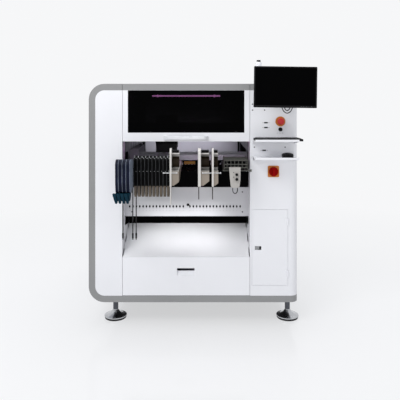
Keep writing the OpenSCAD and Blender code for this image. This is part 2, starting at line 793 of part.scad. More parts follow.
// Tunnels that guard the boards where they enter and leave, with sloping mouths
module entry_tunnels() centred() color("#b4b3bd") {
    for (m = [0, 1]) translate([m * case_w, 0, 0]) mirror([m, 0, 0]) {
        difference() {
            block([sheet + fit, tunnel_y0, tunnel_z0], [sheet + tunnel_l, tunnel_y1, tunnel_z1]);
            block([0, tunnel_y0 + 2, tunnel_z0 + 2], [tunnel_l + 10, tunnel_y1 - 2, tunnel_z1 - 2]);
            // Slot that the conveyor's rails stand through
            block([0, tunnel_y0 + 20, tunnel_z0 - 1], [tunnel_l + 10, tunnel_y1 - 20, tunnel_z0 + 3]);
        }
    }
}

// ---- Hood ----

// Hinged hood: a framed front, a grey strip above it, a top sheet and two side flanges
module front_hood() centred() color("#f0f1f5") {
    x0 = bay_x0 + seam / 2;
    x1 = bay_x1 - seam / 2;
    win_x0 = bay_mid - window_w / 2;
    win_z = case_top - band_w - 0.5 - window_h;
    top_y = hinge_y - 14;
    difference() {
        union() {
            block([x0, 0, hood_z], [x1, hood_t, case_top]);
            block([x0, hood_t - 0.1, roof_z], [x1, top_y, case_top]);
            for (x = [x0, x1 - sheet]) {
                side(x, sheet) polygon([[hood_t - 0.1, hood_z + 6], [150, hood_z + 40],
                    [top_y, case_top - 60], [top_y, roof_z + 0.1], [hood_t - 0.1, roof_z + 0.1]]);
            }
            // Stiffening lip along the lower edge
            block([x0, hood_t - 0.1, hood_z], [x1, hood_t + 14, hood_z + 4]);
            // Knuckles on the top sheet's back edge
            for (x = hinge_x) {
                rod_x([x, hinge_y, roof_z - 9], 18, 30);
                block([x, top_y - 30, roof_z - 10], [x + 30, hinge_y, roof_z - 4]);
                block([x, top_y - 30, roof_z - 10], [x + 30, top_y - 20, roof_z + 0.1]);
            }
        }
        // Window opening with a rebate for the glass
        block([win_x0, -1, win_z], [win_x0 + window_w, hood_t + 1, win_z + window_h]);
        block([win_x0 - 14, 2, win_z - 14], [win_x0 + window_w + 14, window_t + 2.6, win_z + window_h + 14]);
        // Hollow of the frame
        block([x0 + 4, window_t + 6, hood_z + 4], [x1 - 4, hood_t + 1, win_z - 18]);
        for (x = hinge_x) rod_x([x - 1, hinge_y, roof_z - 9], 8 + 2 * run, 32);
    }
}

module front_window() centred() color("#060608") {
    win_x0 = bay_mid - window_w / 2;
    win_z = case_top - band_w - 0.5 - window_h;
    block([win_x0 - 13.7, 2.3, win_z - 13.7], [win_x0 + window_w + 13.7, window_t + 2.3, win_z + window_h + 13.7]);
}

// Tube light behind the top of the window, in two clips
module light_bar() centred() color("#c06cb6") {
    z = case_top - band_w - 34;
    x0 = bay_mid - light_w / 2;
    rod_x([x0, window_t + 12, z], 9, light_w);
    for (x = [x0 + 30, x0 + light_w - 40]) {
        block([x, window_t + 2.6, z - 7], [x + 10, window_t + 15, z + 7]);
    }
}

// Bowed grip between two feet
module hood_handle() centred() color("#f4f5f7") {
    z = hood_z + 22;
    x0 = bay_mid - 1 - handle_w / 2;
    bow = 34;
    difference() {
        translate([0, 0, z - 11]) linear_extrude(22) difference() {
            polygon([[x0, -fit], [x0 + 14, -bow + 8], [x0 + 26, -bow], [x0 + handle_w - 26, -bow],
                     [x0 + handle_w - 14, -bow + 8], [x0 + handle_w, -fit]]);
            polygon([[x0 + 20, 1], [x0 + 30, -bow + 16], [x0 + 36, -bow + 12],
                     [x0 + handle_w - 36, -bow + 12], [x0 + handle_w - 30, -bow + 16], [x0 + handle_w - 20, 1]]);
        }
        // Rounded long edges
        for (s = [-1, 1]) {
            difference() {
                block([x0 - 1, -bow - 1, z + s * 8 - 4], [x0 + handle_w + 1, -bow + 4, z + s * 8 + 4]);
                rod_x([x0 - 2, -bow + 5, z + s * 6], 10, handle_w + 4);
                block([x0 - 2, -bow - 2, min(z, z + s * 6)], [x0 + handle_w + 2, -bow + 5, max(z, z + s * 6)]);
            }
        }
    }
}

// ---- Right front ----

module cabinet_door() centred() color("#eef0f4") {
    x0 = door_x - door_w;
    difference() {
        block([x0, 0, door_z], [door_x, sheet - fit, door_z + door_h]);
        block([lock_x - 20, -1, lock_z - 11], [lock_x + 20, sheet + 1, lock_z + 11]);
    }
    // Return flanges and the moving knuckles
    difference() {
        block([x0 + 16, sheet - fit - 0.1, door_z + 16], [door_x - 10, 16, door_z + door_h - 16]);
        block([x0 + 18, 0, door_z + 18], [door_x - 12, 17, door_z + door_h - 18]);
    }
    for (z = [door_z + 50, door_z + door_h - 90]) {
        difference() {
            union() {
                rod_z([door_x + seam / 2, -door_knuckle - fit, z + 20 + fit], 2 * door_knuckle, 19);
                block([door_x - 18, -fit - 2, z + 20 + fit], [door_x + seam / 2, 0, z + 39 + fit]);
            }
            rod_z([door_x + seam / 2, -door_knuckle - fit, z + 19], 4 + 2 * run, 22);
        }
    }
}

// Paddle lock: an escutcheon in the door, its turning barrel and the tongue behind the rebate
module door_lock() centred() color("#b8bbc0") {
    difference() {
        rod_y([cam_x, -2, lock_z], 20, 24);
        translate([cam_x - 1.5, -3, lock_z - 6]) cube([3, 6, 12]);
    }
    rod_y([cam_x, 5.4, lock_z], 26, 2);
    // Cam, which hangs down while unlocked and turns behind the cabinet's edge
    block([cam_x - 9, 18, lock_z - lock_cam], [cam_x + 9, 22, lock_z + 9]);
}

// Escutcheon plates that stay put: main switch, emergency stop and key switch bezel
module switch_plates() centred() color("#f0983c") {
    difference() {
        face(-4, 4 - fit) translate([switch_x - switch_side / 2, switch_z - switch_side / 2])
            round_rect(switch_side, switch_side, 7);
        rod_y([switch_x, -5, switch_z], 22, 8);
    }
    difference() {
        translate([stop_x, -4, stop_z]) rotate([-90, 0, 0]) cylinder(d = stop_ring_d, h = 4 - fit);
        rod_y([stop_x, -5, stop_z], 22.6, 8);
    }
}

// Grooved mushroom button on its stem
module stop_button() centred() color("#c8161c") {
    translate([stop_x, 0, stop_z]) rotate([90, 0, 0]) {
        rotate_extrude() polygon(concat(
            [[0, -24], [11, -24], [11, stop_cap_z], [stop_d / 2 - 4, stop_cap_z], [stop_d / 2, stop_cap_z + 3]],
            arc([stop_d / 2 - 6, stop_cap_z + 8], 6, 0, 80, 5), [[0, stop_cap_z + 15]]));
    }
}

module key_switch() centred() color("#17181b") {
    translate([stop_x, 0, key_z]) rotate([90, 0, 0]) {
        difference() {
            union() {
                translate([0, 0, -22]) cylinder(d = 16, h = 30);
                translate([0, 0, fit]) cylinder(d = 24, h = 5);
                translate([-3, -11, 7.9]) cube([6, 22, 9]);
            }
            translate([-1, -8, 15]) cube([2, 16, 3]);
        }
    }
}

// Rotary main switch: a fluted knob with a grip bar
module main_knob() centred() color("#c2161e") {
    translate([switch_x, 0, switch_z]) rotate([90, 0, 0]) difference() {
        union() {
            translate([0, 0, -20]) cylinder(d = 20, h = 26);
            translate([0, 0, 4 + fit]) cylinder(d = switch_d, h = 14);
            translate([-8, -switch_d / 2 + 2, 18.2]) cube([16, switch_d - 4, 14]);
        }
        for (a = [0:30:330]) rotate(a) translate([switch_d / 2 + 2, 0, 3]) cylinder(d = 8, h = 16);
    }
}

// A tray: a folded sheet with a front lip, cheeks and a back flange on the case
module tray(z) {
    difference() {
        side(shelf_x, tray_w) polygon([
            [-fit, z + 26], [-2, z + 26], [-2, z], [-tray_d, z], [-tray_d, z + 10],
            [-tray_d - 2, z + 10], [-tray_d - 2, z - 2], [-fit, z - 2]]);
        for (x = [shelf_x + 40, shelf_x + tray_w - 40]) rod_y([x, -5, z + 16], 6, 8);
    }
    for (x = [shelf_x, shelf_x + tray_w - 2]) {
        side(x, 2) polygon([[-fit, z - 24], [-fit, z], [-tray_d + 30, z], [-tray_d + 30, z - 7]]);
    }
}

module trays() centred() color("#f0f1f4") {
    tray(mouse_shelf_z);
    tray(key_shelf_z);
}

// Slim keyboard with separate keys in five rows
module keyboard() centred() color("#141416") {
    x0 = shelf_x + 2;
    key = 15;
    pitch = 18;
    translate([x0, -tray_d + 15, key_shelf_z + fit]) {
        difference() {
            block([0, -14, 0], [keyboard_w, 122, 12]);
            block([4, -10, 8], [keyboard_w - 4, 118, 13]);
            translate([-1, -15, 12]) rotate([12, 0, 0]) cube([keyboard_w + 2, 30, 10]);
        }
        for (r = [0:5]) {
            for (c = [0:13]) {
                if (r > 0 || c < 4 || c > 8) {
                    block([10 + c * pitch, -6 + r * 20.4, 8 - 0.1], [10 + c * pitch + key, 11 + r * 20.4, 15]);
                }
            }
            if (r == 0) {
                block([10 + 4 * pitch, -6, 8 - 0.1], [10 + 8 * pitch + key, 11, 15]);
            }
        }
    }
}

// Mouse: a domed body split by its buttons, with a wheel
module mouse() centred() color("#101012") {
    translate([mouse_x, mouse_y, mouse_shelf_z + fit]) {
        difference() {
            intersection() {
                translate([0, 0, -48]) sphere(d = 160);
                linear_extrude(34) translate([-30, -52]) round_rect(60, 104, 26);
            }
            translate([-0.4, -60, 20]) cube([0.8, 50, 20]);
            translate([-35, -11, 24]) cube([70, 0.8, 20]);
        }
        rod_x([-3, -34, 24], 18, 6);
    }
}

// ---- Monitor ----

module arm_plate() centred() color("#2c2e32") {
    face(-fit - 6, 6) translate([monitor_x - 50, arm_z - 50]) round_rect(100, 100, 8);
    for (z = [arm_z - 34, arm_z + 22]) {
        difference() {
            block([monitor_x - 14, pivot_y, z], [monitor_x + 14, -fit - 5.9, z + 12]);
            rod_z([monitor_x, pivot_y, z - 1], 12 + 2 * run, 14);
        }
    }
}

// Swivelling arm with its pin and the cross pin at the far end that the monitor tilts on
module monitor_arm() centred() color("#2c2e32") {
    far_y = -monitor_gap + 22;
    rod_z([monitor_x, pivot_y, arm_z - 36], 12, 72);
    rod_z([monitor_x, pivot_y, arm_z - 21.6], 28, 43.2);
    block([monitor_x - 9, far_y + 12, arm_z - 12], [monitor_x + 9, pivot_y - 5, arm_z + 12]);
    rod_x([monitor_x - 14, far_y, arm_z], 26, 28);
    block([monitor_x - 9, far_y, arm_z - 12], [monitor_x + 9, far_y + 13, arm_z + 12]);
    rod_x([monitor_x - 26, far_y, arm_z], 10, 52);
}

module rolled() translate([monitor_x, 0, monitor_z]) rotate([0, monitor_roll, 0]) children();

module monitor() centred() color("#0b0b0d") {
    y0 = -monitor_gap - monitor_t;
    rolled() difference() {
        union() {
            face(y0, monitor_t - 8) translate([-monitor_w / 2, -monitor_h / 2]) round_rect(monitor_w, monitor_h, 5);
            face(y0 + monitor_t - 8.1, 8.1) translate([-monitor_w / 2 + 50, -monitor_h / 2 + 30])
                round_rect(monitor_w - 100, monitor_h - 60, 8);
        }
        block([-monitor_w / 2 + 7, y0 - 1, -monitor_h / 2 + 12], [monitor_w / 2 - 7, y0 + 1.5, monitor_h / 2 - 7]);
        for (k = [0:11]) {
            block([-66 + k * 12, -monitor_gap - 3, 60], [-60 + k * 12, -monitor_gap + 1, 72]);
        }
    }
    // Clevis round the arm's cross pin, on a plate behind the monitor
    face(-monitor_gap - 0.1, 4) translate([monitor_x - 38, arm_z - 38]) round_rect(76, 76, 5);
    for (x = [monitor_x - 25, monitor_x + 14 + fit]) {
        difference() {
            block([x, -monitor_gap + 3.8, arm_z - 13], [x + 10.7, -monitor_gap + 32, arm_z + 13]);
            rod_x([x - 1, -monitor_gap + 22, arm_z], 10 + 2 * run, 13);
        }
    }
}

module monitor_screen() centred() color("#020203") {
    y0 = -monitor_gap - monitor_t;
    rolled() block([-monitor_w / 2 + 7 + fit, y0 + 0.2, -monitor_h / 2 + 12 + fit],
                   [monitor_w / 2 - 7 - fit, y0 + 1.5 - fit, monitor_h / 2 - 7 - fit]);
}

// Signal tower on the roof: a foot, a pole, a white lamp body and a dark cap
module signal_tower() centred() color("#e8e9ec") {
    translate([tower_x, tower_y, case_top + fit]) rotate_extrude() polygon([
        [0, 0], [26, 0], [26, 5], [13, 12], [8, 14], [8, 60], [20, 64], [20, 98], [18.5, 99], [18.5, 100],
        [20, 101], [20, 133], [18.5, 134], [18.5, 135], [20, 136], [20, 155], [19, 158], [13, 159],
        [13, 170.5], [11.5, 172], [0, 172]]);
}

// ---- Feeders ----

function station(k) = station_x + station_pitch * k;

// Foot of every feeder: it lies on the table, plugs into the wall and runs in its groove
module feeder_foot(x, w) {
    front = bay_d + sheet + 20;
    slot = station(round((x + w / 2 - station_x) / station_pitch));
    block([x, front, table_z + fit], [x + w, bank_back - 14 - fit, dock_z - 2]);
    block([slot - 3.6, front, table_z - 6.6], [slot + 3.6, bank_back - 22, table_z + fit + 0.1]);
}

// Long tape feeders with a bowed front
module navy_feeders() centred() color("#10152b") {
    nose = concat(
        [[bay_d + sheet + 20.1, table_z + fit], [bay_d, table_z + fit], [60, 893], [-60, 880], [-160, 850], [-215, 824]],
        [[-268, 824], [-286, 834], [-297, 880]],
        arc([34 - feeder_reach, 975], 34, 180, 90, 8),
        [[-180, 1000], [-60, 976], [40, 958], [bay_d + sheet + 20.1, dock_z - 2]]);
    for (k = [0:3]) {
        x = station(k) - feeder_w / 2;
        difference() {
            union() {
                feeder_foot(x, feeder_w);
                side(x, feeder_w) polygon(nose);
            }
            // Tape slot along the top and a lightening slot through the side
            side(x + 5, 8) polygon([[-230, 1001], [-230, 1030], [40, 1030], [40, 952], [-60, 970], [-180, 994]]);
            side(x - 1, feeder_w + 2) polygon([[-170, 890], [-60, 910], [-60, 938], [-170, 950]]);
        }
    }
}

// Handles of the long feeders, which splay to the left
module navy_handles() centred() color("#14506a") {
    wing_y = -handle_reach + 19;
    for (k = [0:3]) {
        x = station(k) - feeder_w / 2;
        intersection() {
            face(wing_y + 1, 60) polygon([
                [x - 1.5, 823.7], [x + feeder_w - 1, 823.7], [x + feeder_w - 3, 782], [x + 7, 776], [x + 3, 782]]);
            side(x - 20, 60) polygon(concat([[-235, 823.7], [-242, 786]],
                arc([-266, 790], 16, -30, -150, 5), [[wing_y + 1, 800], [wing_y + 1, 823.7]]));
        }
        // Thumb tab in front, which leans to the left at its top
        intersection() {
            face(-handle_reach, 19) polygon([[x - 14, 823], [x - 11, 826], [x + 4, 824], [x + 13, 774],
                                             [x + 9, 769], [x + 1, 772]]);
            side(x - 20, 60) polygon([[wing_y, 765], [wing_y - 13, 765], [-handle_reach, 810],
                                      [-handle_reach + 3, 830], [wing_y, 830]]);
        }
        block([x + 1.5, wing_y - 1, 800], [x + 5, wing_y + 2, 815]);
    }
}

// Short tape feeders, each with a tape guide under its round nose
module black_feeders() centred() color("#121214") {
    nose = concat(
        [[bay_d + sheet + 20.1, table_z + fit], [bay_d, table_z + fit], [30, 890], [-40, 862], [-100, 846], [-168, 846]],
        arc([-145, 987], 30, 180, 75, 8),
        [[-20, 996], [60, 968], [bay_d + sheet + 20.1, dock_z - 2]]);
    for (k = [4:13]) {
        x = station(k) - feeder_w / 2;
        difference() {
            union() {
                feeder_foot(x, feeder_w);
                side(x, feeder_w) polygon(nose);
            }
            side(x + 5, 8) polygon([[-130, 1010], [-130, 1030], [60, 1030], [60, 962], [-20, 988]]);
            side(x - 1, feeder_w + 2) polygon([[-120, 890], [-40, 905], [-40, 950], [-120, 960]]);
        }
    }
}

module feeder_grips() centred() color("#a3927e") {
    for (k = [4:13]) {
        x = station(k) - 7;
        difference() {
            side(x, 14) polygon(concat([[-112, 845.7], [-116, 812]],
                arc([-142, 806], 26, 0, -110, 6), [[-166, 800], [-168, 845.7]]));
            side(x + 3, 8) polygon([[-100, 838], [-126, 808], [-150, 798], [-160, 838]]);
        }
    }
}

// Wide tape feeder: a tall spine, a low body with a sloping underside and a capped top
module wide_feeder(x, w, spine) {
    top = 1032;
    feeder_foot(x, w);
    side(x, spine) polygon(concat(
        [[bay_d + sheet + 20.1, table_z + fit], [bay_d, table_z + fit], [20, 880], [-60, 846], [-186, 844]],
        arc([-160, 1030], 32, 180, 60, 8), [[-20, 1010], [70, 966], [bay_d + sheet + 20.1, dock_z - 2]]));
    intersection() {
        side(x + spine - 0.1, w - spine + 0.1) polygon([
            [bay_d + sheet + 20.1, dock_z - 2], [bay_d + sheet + 20.1, table_z + fit],
            [bay_d, table_z + fit], [20, 880],
            [-60, 849], [-178, 849], [-178, 930], [20, 934]]);
        face(-200, 400) polygon([[x, 849], [x + spine + (w - spine) * 0.3, 849], [x + w, 849 + w * 0.4],
                                 [x + w, 945], [x, 945]]);
    }
    // Bracket that carries the drum, and the cap over it
    block([x + spine - 0.1, -70, 925], [x + w, -60, top]);
    block([x + spine - 0.1, -150, top - 6], [x + w, -59.9, top]);
}

module wide_feeders() centred() color("#dcd8d2") {
    for (f = wide) wide_feeder(f[0], f[1], f[2]);
    // Long paper guide that hangs from the first one
    block([wide[0][0] + 2, -184, 742], [wide[0][0] + 8, -160, 844.1]);
}

// Drums, top latches and the hanging rods of the wide feeders
module feeder_drives() centred() color("#6a5838") {
    for (f = wide) {
        x0 = f[0] + f[2];
        w = f[1] - f[2];
        rod_x([x0 + fit, -112, 978], 62, w - fit);
        rod_x([x0 + fit, -112, 978], 76, 2);
        block([x0 + 2, -140, 1032 + fit], [x0 + w - 2, -90, 1046]);
    }
    for (f = [wide[1], wide[2]]) rod_z([f[0] + 4, -150, 766], 5, 78.5);
}

// Stick feeder: three slotted shelves between side plates, with a clamping rod and its knob
module stick_feeder() centred() color("#7f857c") {
    x0 = 812;
    x1 = 952;
    feeder_foot(x0, x1 - x0);
    for (x = [x0, x1 - 4]) {
        side(x, 4) polygon([[bay_d + sheet + 20.1, table_z + fit], [bay_d, table_z + fit], [40, 905], [-100, 920], [-118, 935],
                            [-118, 985], [-40, 996], [60, 996], [bay_d + sheet + 20.1, dock_z - 2]]);
    }
    for (z = [944, 962, 985]) {
        block([x0 + 3.9, -130, z], [x1 - 3.9, 60, z + 5]);
        for (k = [0:5]) {
            if (z < 985) block([x0 + 16 + k * 22, -126, z + 4.9], [x0 + 20 + k * 22, 56, z < 950 ? 962.1 : 985.1]);
        }
    }
    rod_x([x0 - 8, -112, 927], 8, 158);
    rod_x([x0 + 150, -112, 927], 14, 11);
}

// Control box that hangs on the stick feeder, with two dials and a row of keys
module control_box() centred() color("#d9d7d0") {
    translate([0, -134, 0]) {
        difference() {
            face(-22, 22) polygon([[840, 950], [906, 950], [905, 880], [900, 840], [893, 833], [856, 833],
                                   [850, 840], [846, 880]]);
            for (z = [905, 873]) rod_y([886, -23, z], 17, 8);
        }
        for (z = [905, 873]) rod_y([886, -30, z], 15, 15.2);
        for (z = [893, 873]) block([860, -24, z - 3], [868, -21.9, z + 3]);
    }
    block([850, -134.1, 936], [896, -130 - fit, 950]);
}

// ---- Cords ----

function catmull(a, b, c, d, t) =
    0.5 * (2 * b + (c - a) * t + (2 * a - 5 * b + 4 * c - d) * t * t + (3 * b - a - 3 * c + d) * t * t * t);

// A smooth path through a route, with n steps between two of its points
function smooth(route, n) = let (last = len(route) - 1) concat(
    [for (i = [0:last - 1], k = [0:n - 1])
        catmull(route[max(i - 1, 0)], route[i], route[i + 1], route[min(i + 2, last)], k / n)],
    [route[last]]);

// A tube along a path that lies near a plane; flat is the plane's normal
module cord(path, d, flat) {
    sides = 8;
    last = len(path) - 1;
    rings = [for (i = [0:last]) let (
        along = path[min(i + 1, last)] - path[max(i - 1, 0)],
        u = cross(along, flat) / norm(cross(along, flat)),
        v = cross(along, u) / norm(cross(along, u)))
        for (k = [0:sides - 1]) path[i] + d / 2 * (u * cos(360 * k / sides) + v * sin(360 * k / sides))];
    polyhedron(points = rings, faces = concat(
        [[for (k = [0:sides - 1]) k]],
        [[for (k = [0:sides - 1]) last * sides + sides - 1 - k]],
        [for (i = [0:last - 1], k = [0:sides - 1]) let (j = (k + 1) % sides)
            [i * sides + k, (i + 1) * sides + k, (i + 1) * sides + j]],
        [for (i = [0:last - 1], k = [0:sides - 1]) let (j = (k + 1) % sides)
            [i * sides + k, (i + 1) * sides + j, i * sides + j]]));
}

// Air hoses that hang from the long feeders
module air_hoses() centred() color("#0e0e10") {
    for (h = hoses) {
        route = concat([[hose_route[0][0], h[1]]], hose_route);
        cord([for (p = smooth(route, 4)) [h[0], p[0], p[1]]], hose_d, [1, 0, 0]);
    }
}

module hose_fittings() centred() color("#1a1a1c") {
    for (h = hoses) {
        rod_z([h[0], hose_route[0][0], 530], 10, 30);
        rod_z([h[0], hose_route[0][0], 522], 6, 8.1);
    }
}

// Loops of the screen's leads under the monitor
module monitor_cables() centred() color("#0c0c0e") {
    for (r = monitor_loops) cord(smooth(r, 5), lead_d, [0, 1, 0]);
}

module box_cable() centred() color("#0c0c0e") {
    cord(smooth(box_loop, 5), lead_d, [0, 1, 0]);
}

base_frame();
levelling_feet();
foot_pads();
grey_bands();
left_panel();
right_cabinet();
side_skins();
roof_panel();
rear_panel();
rear_door();
bay_walls();
hole_panel();
chute();
front_drawer();
machine_bed();
feeder_bank();
gantry_rails();
gantry_beam();
placement_head();
nozzle_1();
nozzle_2();
nozzle_3();
nozzle_4();
upward_cameras();
nozzle_rack();
fixed_rail();
moving_rail();
width_screw();
entry_tunnels();
control_computer();
front_hood();
front_window();
hood_handle();
light_bar();
cabinet_door();
door_lock();
switch_plates();
stop_button();
key_switch();
main_knob();
trays();
keyboard();
mouse();
arm_plate();
monitor_arm();
monitor();
monitor_screen();
monitor_cables();
signal_tower();
navy_feeders();
navy_handles();
black_feeders();
feeder_grips();
wide_feeders();
feeder_drives();
stick_feeder();
control_box();
box_cable();
air_hoses();
hose_fittings();
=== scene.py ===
"""Dresses the floor-standing pick and place machine and sets up its studio.

Lengths are metres in the part's frame. Places on the case are written in millimetres: from its left
edge, from its front face, and from the plane GROUND_GAP under its underside, the height datum. at()
turns them into places in the part's frame.
"""

import math

import bpy
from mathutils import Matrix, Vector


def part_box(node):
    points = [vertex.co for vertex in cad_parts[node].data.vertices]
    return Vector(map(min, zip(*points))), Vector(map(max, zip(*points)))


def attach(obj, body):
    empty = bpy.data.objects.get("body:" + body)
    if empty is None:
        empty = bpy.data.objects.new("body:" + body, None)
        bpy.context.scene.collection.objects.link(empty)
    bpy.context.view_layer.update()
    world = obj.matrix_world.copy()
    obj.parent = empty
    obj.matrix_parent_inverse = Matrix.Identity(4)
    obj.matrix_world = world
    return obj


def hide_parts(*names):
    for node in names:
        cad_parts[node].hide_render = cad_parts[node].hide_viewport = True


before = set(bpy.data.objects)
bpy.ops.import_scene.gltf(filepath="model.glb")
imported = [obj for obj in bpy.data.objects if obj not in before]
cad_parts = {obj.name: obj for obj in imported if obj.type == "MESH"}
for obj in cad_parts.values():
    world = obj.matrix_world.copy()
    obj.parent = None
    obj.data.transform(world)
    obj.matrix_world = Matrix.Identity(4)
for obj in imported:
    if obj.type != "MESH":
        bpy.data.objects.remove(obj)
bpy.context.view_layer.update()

MM = 0.001
GROUND_GAP = 117
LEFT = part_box("grey_bands")[0][0]
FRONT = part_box("left_panel")[0][1]
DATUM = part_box("grey_bands")[0][2] - GROUND_GAP * MM


def at(x, y, z):
    """A place on the case, from its left edge, its front face and the height datum, in millimetres."""
    return (LEFT + x * MM, FRONT + y * MM, DATUM + z * MM)


# ---------------------------------------------------------------- shader pieces


def new_material(name):
    """An empty material with its tree and its Principled shader."""
    material = bpy.data.materials.new(name)
    material.use_nodes = True
    return material, material.node_tree, material.node_tree.nodes["Principled BSDF"]


def grain(tree, scale, detail=3.0, stretch=(1, 1, 1)):
    """Noise on Object coordinates, which may be stretched along an axis."""
    place = tree.nodes.new("ShaderNodeTexCoord")
    mapping = tree.nodes.new("ShaderNodeMapping")
    mapping.inputs["Scale"].default_value = stretch
    noise = tree.nodes.new("ShaderNodeTexNoise")
    noise.inputs["Scale"].default_value = scale
    noise.inputs["Detail"].default_value = detail
    tree.links.new(place.outputs["Object"], mapping.inputs["Vector"])
    tree.links.new(mapping.outputs["Vector"], noise.inputs["Vector"])
    return noise.outputs["Fac"]


def remap(tree, value, low, high, start=0.3, end=0.7):
    """The value from start to end, spread from low to high."""
    node = tree.nodes.new("ShaderNodeMapRange")
    node.inputs["From Min"].default_value = start
    node.inputs["From Max"].default_value = end
    node.inputs["To Min"].default_value = low
    node.inputs["To Max"].default_value = high
    tree.links.new(value, node.inputs["Value"])
    return node.outputs["Result"]


def blend_colour(tree, factor, first, second):
    """A mix of two colours, each a triple or a socket."""
    node = tree.nodes.new("ShaderNodeMix")
    node.data_type = "RGBA"
    tree.links.new(factor, node.inputs["Factor"])
    for socket, colour in ((node.inputs[6], first), (node.inputs[7], second)):
        if isinstance(colour, tuple):
            socket.default_value = (*colour, 1)
        else:
            tree.links.new(colour, socket)
    return node.outputs[2]


def add_bump(tree, bsdf, height, depth, strength=0.4):
    """Bumps of that depth in metres under the shader's normal."""
    bump = tree.nodes.new("ShaderNodeBump")
    bump.inputs["Strength"].default_value = strength
    bump.inputs["Distance"].default_value = depth
    tree.links.new(height, bump.inputs["Height"])
    tree.links.new(bump.outputs["Normal"], bsdf.inputs["Normal"])


def coordinate(tree, axis):
    """One of the Object coordinates."""
    place = tree.nodes.new("ShaderNodeTexCoord")
    split = tree.nodes.new("ShaderNodeSeparateXYZ")
    tree.links.new(place.outputs["Object"], split.inputs["Vector"])
    return split.outputs[axis]


def math_step(tree, kind, value, number):
    """The result of one Math node on a value and a number."""
    node = tree.nodes.new("ShaderNodeMath")
    node.operation = kind
    tree.links.new(value, node.inputs[0])
    node.inputs[1].default_value = number
    return node.outputs[0]


def zone(tree, limits):
    """1 inside the limits, each an axis with its lowest and highest place in metres, and 0 elsewhere."""
    inside = None
    for axis, (low, high) in limits.items():
        for kind, place in (("GREATER_THAN", low), ("LESS_THAN", high)):
            if place is None:
                continue
            side = math_step(tree, kind, coordinate(tree, axis), place)
            if inside is None:
                inside = side
                continue
            both = tree.nodes.new("ShaderNodeMath")
            both.operation = "MULTIPLY"
            tree.links.new(inside, both.inputs[0])
            tree.links.new(side, both.inputs[1])
            inside = both.outputs[0]
    return inside


def darker(colour, share):
    """The colour times share."""
    return tuple(channel * share for channel in colour)


def coated(name, colour, rough=0.42, soil=0.965, pebble=900, depth=0.00006, gloss=0.5, other=None):
    """Powder coat or paint: pebbled, slightly soiled, with uneven gloss.

    other gives a second colour, and the limits inside which it is sprayed.
    """
    material, tree, bsdf = new_material(name)
    patches = remap(tree, grain(tree, 3.5, 5), 0, 1)
    paint = blend_colour(tree, patches, darker(colour, soil), colour)
    if other:
        second, limits = other
        paint = blend_colour(
            tree, zone(tree, limits), paint, blend_colour(tree, patches, darker(second, soil), second)
        )
    tree.links.new(paint, bsdf.inputs["Base Color"])
    tree.links.new(remap(tree, grain(tree, 26, 4), rough - 0.07, rough + 0.09), bsdf.inputs["Roughness"])
    add_bump(tree, bsdf, grain(tree, pebble, 2), depth)
    bsdf.inputs["Specular IOR Level"].default_value = gloss
    return material


LINE_SHADE = 0.82
LINE_DEPTH = 0.00003


def brushed(name, colour, rough=0.32, along=(1, 30, 30), metallic=1.0, other=None):
    """Metal with fine lines along one axis and duller patches; other is as for coated()."""
    material, tree, bsdf = new_material(name)
    lines = grain(tree, 60, 3, along)
    shade = remap(tree, lines, 0, 1)
    metal = blend_colour(tree, shade, darker(colour, LINE_SHADE), colour)
    if other:
        second, limits = other
        metal = blend_colour(
            tree, zone(tree, limits), metal, blend_colour(tree, shade, darker(second, LINE_SHADE), second)
        )
    tree.links.new(metal, bsdf.inputs["Base Color"])
    tree.links.new(remap(tree, grain(tree, 18, 4), rough - 0.1, rough + 0.12), bsdf.inputs["Roughness"])
    add_bump(tree, bsdf, lines, LINE_DEPTH)
    bsdf.inputs["Metallic"].default_value = metallic
    return material


def moulded(name, colour, rough=0.45, pebble=1600, depth=0.00004, dust=1.25, gloss=0.5):
    """Moulded plastic: fine texture, and paler where hands and dust have been."""
    material, tree, bsdf = new_material(name)
    bsdf.inputs["Specular IOR Level"].default_value = gloss
    tree.links.new(
        blend_colour(tree, remap(tree, grain(tree, 14, 5), 0, 1), colour, darker(colour, dust)),
        bsdf.inputs["Base Color"],
    )
    tree.links.new(remap(tree, grain(tree, 35, 3), rough - 0.08, rough + 0.1), bsdf.inputs["Roughness"])
    add_bump(tree, bsdf, grain(tree, pebble, 2), depth)
    return material


def striped(name, dark, pale_edge_and_highlight, pitch, start, share, rough=0.4, gloss=0.5):
    """Plates side by side along X from start: the pale edge of one takes that share of each pitch. The pale
    edge is partly the plate's bare edge and partly a painted highlight.
    """
    material, tree, bsdf = new_material(name)
    turn = math_step(tree, "DIVIDE", math_step(tree, "SUBTRACT", coordinate(tree, "X"), start), pitch)
    edge = math_step(tree, "LESS_THAN", math_step(tree, "FLOORED_MODULO", turn, 1.0), share)
    mottle = remap(tree, grain(tree, 30, 4), 0, 1)
    tree.links.new(
        blend_colour(
            tree,
            edge,
            blend_colour(tree, mottle, dark, darker(dark, 1.8)),
            blend_colour(tree, mottle, darker(pale_edge_and_highlight, 0.6), pale_edge_and_highlight),
        ),
        bsdf.inputs["Base Color"],
    )
    tree.links.new(remap(tree, grain(tree, 45, 3), rough - 0.1, rough + 0.1), bsdf.inputs["Roughness"])
    add_bump(tree, bsdf, grain(tree, 900, 2), 0.00004)
    bsdf.inputs["Specular IOR Level"].default_value = gloss
    return material


GLASS_SHINE = 0.02
BACK_ALPHA = 0.02


